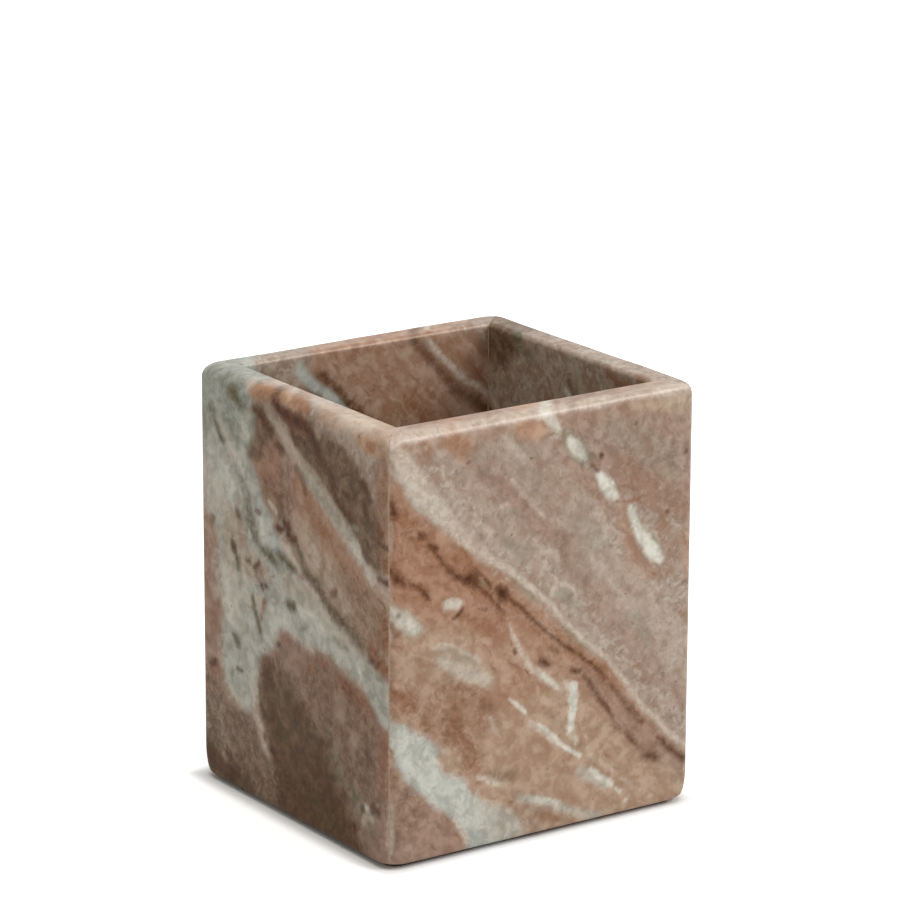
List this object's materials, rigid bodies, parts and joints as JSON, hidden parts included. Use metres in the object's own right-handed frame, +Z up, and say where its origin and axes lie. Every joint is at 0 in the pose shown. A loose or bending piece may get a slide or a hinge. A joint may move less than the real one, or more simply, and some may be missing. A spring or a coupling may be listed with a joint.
{
  "type": "pen holder",
  "caption": "Square desk pen holder of veined brown and grey marble slab, with mitred corners, eased edges and a thin foam pad under the foot.",
  "frame": {"origin": "centre of the outer box at the pad's underside, where the pen holder stands", "axes": "+Z up out of the mouth, +X along the front wall, +Y from the front wall to the back wall"},
  "size_m": [0.0844, 0.0794, 0.101],
  "materials": {
    "marble": "honed, soft sheen, brown and pinkish ground with grey, white, green-grey and orange veins",
    "resin": "pale stone resin, ground flush",
    "foam": "dull dark foam"
  },
  "bodies": {
    "root": {"front_wall": "marble", "right_wall": "marble", "back_wall": "marble", "left_wall": "marble", "front_left_mitre_bond": "resin", "front_right_mitre_bond": "resin", "back_right_mitre_bond": "resin", "back_left_mitre_bond": "resin", "base_slab": "marble", "base_bond": "resin", "foam_pad": "foam"}
  },
  "joints": []
}
